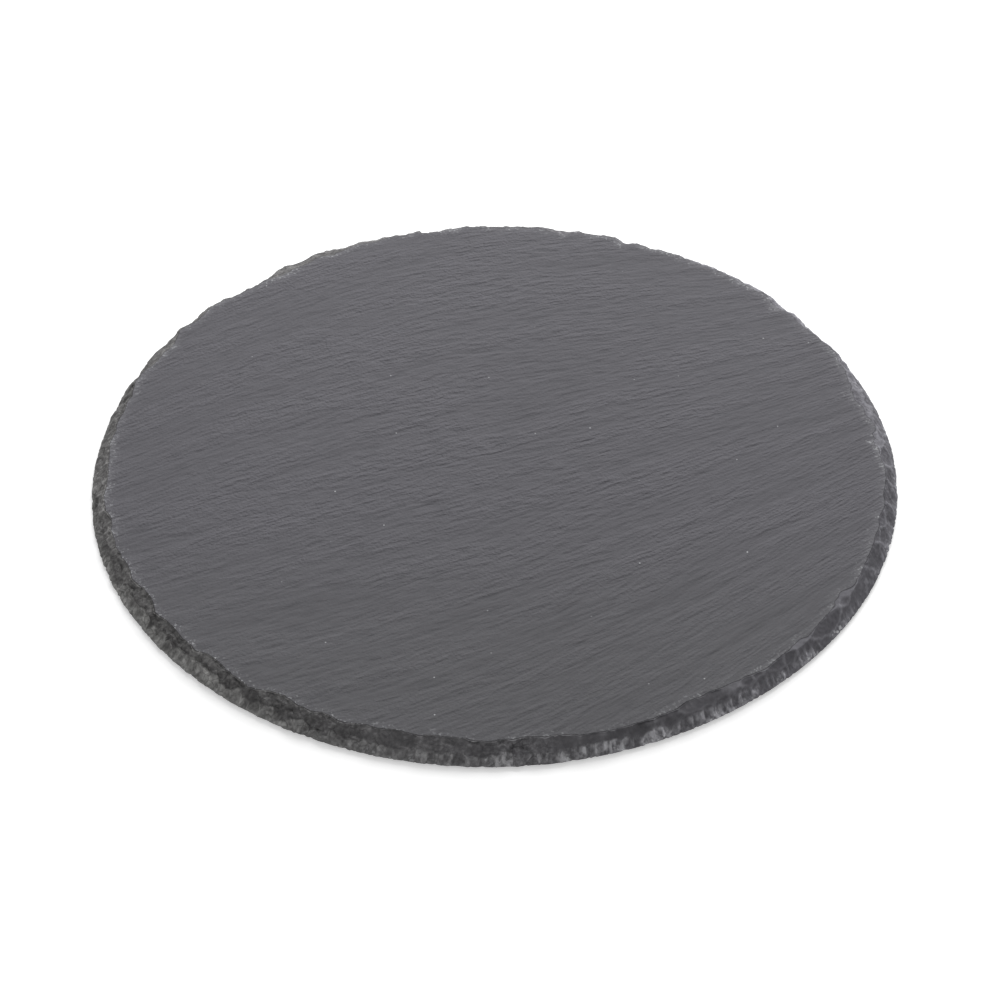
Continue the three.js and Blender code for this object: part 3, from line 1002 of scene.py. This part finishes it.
def roll_rim(bm, rim):
    """Rolls a grid into the rim and closes its seam. Returns the vertices by column and row."""
    made = bmesh.ops.create_grid(bm, x_segments=COLUMNS, y_segments=rim.rows - 1, size=1)
    table = {}
    for vert in made["verts"]:
        column = round((vert.co.x + 1) / 2 * COLUMNS)
        row = round((1 - vert.co.y) / 2 * (rim.rows - 1))
        table[column, row] = vert
        radius, height = rim.places[column % COLUMNS, row]
        x, y, _ = OUTWARDS[column % COLUMNS] * radius
        vert.co = (x, y, height)
    seam = {table.pop((COLUMNS, row)): table[0, row] for row in range(rim.rows)}
    bmesh.ops.weld_verts(bm, targetmap=seam)
    return table


def fill_ring(bm, ring, cell):
    """Fills a level ring of vertices with a grid that lies along the grain. Returns the grid's vertices."""
    reach = np.array([vert.co.xy.length for vert in ring])
    turn = Matrix.Rotation(math.atan(GRAIN_RISE), 4, "Z")
    made = bmesh.ops.create_grid(
        bm,
        x_segments=round(2 * RIM_RADIUS / cell[0]),
        y_segments=round(2 * RIM_RADIUS / cell[1]),
        size=RIM_RADIUS,
        matrix=Matrix.Translation((0, 0, ring[0].co.z)) @ turn,
    )
    grid = made["verts"]
    outside = []
    for vert in grid:
        column = round(math.atan2(vert.co.x, -vert.co.y) / TURN * COLUMNS) % COLUMNS
        if vert.co.xy.length > reach[column] - GRID_GAP:
            outside.append(vert)
    bmesh.ops.delete(bm, geom=outside, context="VERTS")
    stray = [v for v in grid if v.is_valid and not v.link_faces]
    bmesh.ops.delete(bm, geom=stray, context="VERTS")
    grid = [v for v in grid if v.is_valid]
    border = {e for v in grid for e in v.link_edges if e.is_boundary}
    ring_edges = [bm.edges.get(pair) for pair in zip(ring, ring[1:] + ring[:1])]
    bmesh.ops.triangle_fill(bm, edges=[*border, *ring_edges], use_beauty=True, normal=(0, 0, 1))
    return grid


def sink_face(verts, grain, look, seed, sign):
    """Gives a level face its split relief, and keeps each vertex's place in the grain."""
    x, y = np.array([v.co.xy for v in verts]).T
    along, across = grain_place(x, y, seed)
    for vert, u, v, depth in zip(verts, along, across, split_face(along, across, look, seed)):
        vert.co.z -= sign * depth
        vert[grain] = (u, v, 0)


def mark_edge(bm, rim, layers):
    """Marks how near each vertex is to the lip, how ragged the break is, and the dots beside it."""
    x, y = np.array([v.co.xy for v in bm.verts]).T
    bearings = np.arctan2(x, -y)
    inside = np.interp(bearings, BEARINGS, rim.lip_radii, period=TURN) - np.hypot(x, y)
    near = (1 - smooth(0, BRUISE_REACH, inside)) * mix(1, FRONT_BRUISE_SHARE, FRONT.at(bearings))
    dots = (1 - smooth(0, DOTS_REACH, inside)) * DOTTED_LIP.at(bearings)
    for name, values in (("edge", near), ("ragged", badly_broken(bearings)), ("dotted", dots)):
        for vert, value in zip(bm.verts, values):
            vert[layers[name]] = value


def crease_stone(bm, layers):
    """Keeps the lip sharp, and every edge at which the stone turns by more than its crease."""
    for edge in bm.edges:
        on_lip = all(vert[layers["lip"]] for vert in edge.verts)
        on_rim = all(vert[layers["rim"]] for vert in edge.verts)
        edge.smooth = not on_lip and edge.calc_face_angle() < (RIM_CREASE if on_rim else FACE_CREASE)


def build_slate(look):
    rim = Rim(look)
    bm = bmesh.new()
    layers = {name: bm.verts.layers.float.new(name) for name in MARKS}
    grain = bm.verts.layers.float_vector.new("grain")
    table = roll_rim(bm, rim)
    last = rim.rows - 1
    for (column, row), vert in table.items():
        for name, values in rim.marks.items():
            vert[layers[name]] = values[column, row]
        vert[layers["lip"]] = float(row == 1)
        vert[layers["rim"]] = float(0 < row < last)
    top_ring, under_ring = [[table[column, row] for column in range(COLUMNS)] for row in (0, last)]
    top = fill_ring(bm, top_ring, FACE_CELL)
    under = fill_ring(bm, under_ring, UNDER_CELL)
    sink_face(top + top_ring, grain, look, FACE_SEED, 1)
    sink_face(under + under_ring, grain, look, UNDER_SEED, -1)
    mark_edge(bm, rim, layers)
    for column in range(COLUMNS):
        for row in range(1, last):
            table[column, row][grain] = top_ring[column][grain]
    bmesh.ops.recalc_face_normals(bm, faces=bm.faces)
    bmesh.ops.translate(bm, verts=bm.verts, vec=(0, 0, UNDERSIDE))
    crease_stone(bm, layers)
    return bm


# Objects

def add_object(name, data):
    made = bpy.data.objects.new(name, data)
    bpy.context.scene.collection.objects.link(made)
    return made


def add_mesh(name, bm, material):
    mesh = bpy.data.meshes.new(name)
    bm.to_mesh(mesh)
    bm.free()
    mesh.materials.append(material)
    return add_object(name, mesh)


def finish_piece(bm, name, material, node):
    """Turns a bmesh into a piece that rides on the plate in place of its CAD node."""
    for face in bm.faces:
        face.smooth = True
    piece = add_mesh(name, bm, material)
    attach(piece, "root")
    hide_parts(node)
    return piece


class SLATE_OT_plate(bpy.types.Operator):
    """Build the knapped slate"""

    bl_idname = "slate.plate"
    bl_label = "Slate"

    def execute(self, context):
        look = context.scene.slate_look
        finish_piece(build_slate(look), "knapped_slate", slate_finish(look), "slate_plate")
        return {"FINISHED"}


# The feet

def foot_profile(radius, height):
    """Edge of a die-cut foam disc, rounded where it stands and pinched a little at its top."""
    turns = np.linspace(0, math.pi / 2, 6)
    arc = [(radius - FOOT_ROUNDING * (1 - math.sin(a)), FOOT_ROUNDING * (1 - math.cos(a))) for a in turns]
    side = [(radius - FOOT_PINCH * t * t, mix(FOOT_ROUNDING, height, t)) for t in (0.35, 0.7, 1.0)]
    return [*arc, *side]


def film_profile(radius, height):
    """Edge of a pressed film, which bulges a little."""
    bulge = height / 2
    turns = np.linspace(0, math.pi, 7)
    return [(radius - bulge + bulge * math.sin(a), bulge - bulge * math.cos(a)) for a in turns]


def disc(node, profile, sides):
    """Spins a disc with flat ends and the given profile of its edge in place of a round CAD node."""
    low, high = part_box(node)
    radius, height = (high.x - low.x) / 2, high.z - low.z
    points = [(0, 0), (radius / 2, 0), *profile(radius, height), (radius / 2, height), (0, height)]
    bm = bmesh.new()
    strip = [bm.verts.new((r, 0, z)) for r, z in points]
    edges = [bm.edges.new(pair) for pair in zip(strip, strip[1:])]
    bmesh.ops.spin(
        bm, geom=strip + edges, cent=(0, 0, 0), axis=(0, 0, 1), angle=TURN, steps=sides, use_merge=True)
    bmesh.ops.remove_doubles(bm, verts=bm.verts, dist=MERGE_GAP)
    bmesh.ops.recalc_face_normals(bm, faces=bm.faces)
    bmesh.ops.translate(bm, verts=bm.verts, vec=((low.x + high.x) / 2, (low.y + high.y) / 2, low.z))
    for edge in bm.edges:
        edge.smooth = edge.calc_face_angle() < FOOT_CREASE
    return bm


def build_discs(stem, name, profile, material, sides):
    """One disc for each CAD node whose name starts with the stem. Returns the pieces."""
    nodes = sorted(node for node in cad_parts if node.startswith(stem))
    return [
        finish_piece(disc(node, profile, sides), node.replace(stem, name), material, node)
        for node in nodes
    ]


class SLATE_OT_feet(bpy.types.Operator):
    """Build the foam feet"""

    bl_idname = "slate.feet"
    bl_label = "Foam feet"

    def execute(self, context):
        look = context.scene.slate_feet
        finish = foam_finish(look)
        for piece in build_discs("foot_pad", "foam_foot", foot_profile, finish, look.sides):
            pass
        return {"FINISHED"}


class SLATE_OT_films(bpy.types.Operator):
    """Build the adhesive films between the feet and the stone"""

    bl_idname = "slate.films"
    bl_label = "Adhesive films"

    def execute(self, context):
        look = context.scene.slate_feet
        finish = film_finish(look)
        build_discs("foot_adhesive", "adhesive_film", film_profile, finish, look.sides)
        return {"FINISHED"}


# The stage

def seen_directly(shader):
    """1 for what the camera, a reflection or clear material sees, and 0 for light that falls on things."""
    rays = ("Is Camera Ray", "Is Glossy Ray", "Is Transmission Ray")
    camera, glossy, clear = [shader.node("LightPath", out=ray) for ray in rays]
    return (camera + glossy + clear).above(0.0, 1.0)


def floor_finish(look):
    """White floor: it takes the plate's shadow, and it is lifted to white in the camera's view."""
    shader = Shader(bpy.data.materials.new("floor"))
    matt = shader.node("BsdfDiffuse", {"Color": opaque(look.floor_colour)})
    away = shader.node("VectorMath", {0: shader.place()}, "Value", operation="LENGTH")
    glow = shader.blend(away.above(*FLOOR_TURNS_WHITE), [look.floor_lift] * 3, (1, 1, 1))
    lift = shader.node("Emission", {"Color": glow, "Strength": seen_directly(shader)})
    return shader.show(shader.node("AddShader", {0: matt, 1: lift}))


def build_floor(look):
    bm = bmesh.new()
    bmesh.ops.create_grid(bm, x_segments=1, y_segments=1, size=FLOOR_HALF_WIDTH)
    floor = add_mesh("floor", bm, floor_finish(look))


def build_sky(look):
    shader = Shader(bpy.data.worlds.new("studio"))
    strength = look.sky + seen_directly(shader) * (1 - look.sky)
    sky = shader.node("Background", {"Color": (1, 1, 1, 1), "Strength": strength})
    bpy.context.scene.world = shader.show(sky, "World")


def build_softbox(look):
    light = bpy.data.lights.new("softbox", "AREA")
    light.shape = "RECTANGLE"
    light.size, light.size_y = SOFTBOX_SIZE
    light.energy = look.softbox_power
    place = Vector(SOFTBOX_PLACE)
    turn = (-place).to_track_quat("-Z", "Y").to_matrix()
    add_object("softbox", light).matrix_world = Matrix.Translation(place) @ turn.to_4x4()


def build_camera(look):
    """The photograph's view, from the front and above."""
    forward = Vector((0, math.cos(look.elevation), -math.sin(look.elevation)))
    right = Vector((1, 0, 0))
    up = right.cross(forward)
    turned_right = right * math.cos(look.roll) - up * math.sin(look.roll)
    turned_up = up * math.cos(look.roll) + right * math.sin(look.roll)
    turn = Matrix((turned_right, turned_up, -forward)).transposed()
    camera = add_object("camera", bpy.data.cameras.new("camera"))
    camera.data.lens = look.lens
    camera.matrix_world = Matrix.Translation(Vector(look.aim) - forward * look.distance) @ turn.to_4x4()
    bpy.context.scene.camera = camera


class SLATE_OT_stage(bpy.types.Operator):
    """Build the floor, the light and the camera"""

    bl_idname = "slate.stage"
    bl_label = "Stage"

    def execute(self, context):
        look = context.scene.slate_stage
        context.scene.view_settings.view_transform = "Standard"
        build_floor(look)
        build_sky(look)
        build_softbox(look)
        build_camera(look)
        return {"FINISHED"}


class SLATE_PT_panel(bpy.types.Panel):
    """Lists the pieces and their settings"""

    bl_label = "Slate plate"
    bl_idname = "SLATE_PT_panel"
    bl_space_type = "VIEW_3D"
    bl_region_type = "UI"
    bl_category = "Slate"

    def draw(self, context):
        for operator in OPERATORS:
            self.layout.operator(operator.bl_idname)
        for group, kind in SETTINGS.items():
            box = self.layout.box()
            for name in kind.__annotations__:
                box.prop(getattr(context.scene, group), name)


SETTINGS = {"slate_look": SlateSettings, "slate_feet": FootSettings, "slate_stage": StageSettings}
OPERATORS = (SLATE_OT_plate, SLATE_OT_feet, SLATE_OT_films, SLATE_OT_stage)
CLASSES = (*SETTINGS.values(), *OPERATORS, SLATE_PT_panel)


def register():
    for cls in CLASSES:
        bpy.utils.register_class(cls)
    for name, group in SETTINGS.items():
        setattr(bpy.types.Scene, name, PointerProperty(type=group))


def unregister():
    for name in SETTINGS:
        delattr(bpy.types.Scene, name)
    for cls in reversed(CLASSES):
        bpy.utils.unregister_class(cls)


def main():
    register()
    bpy.ops.slate.stage()
    bpy.ops.slate.plate()
    bpy.ops.slate.feet()
    bpy.ops.slate.films()


if __name__ == "__main__":
    main()
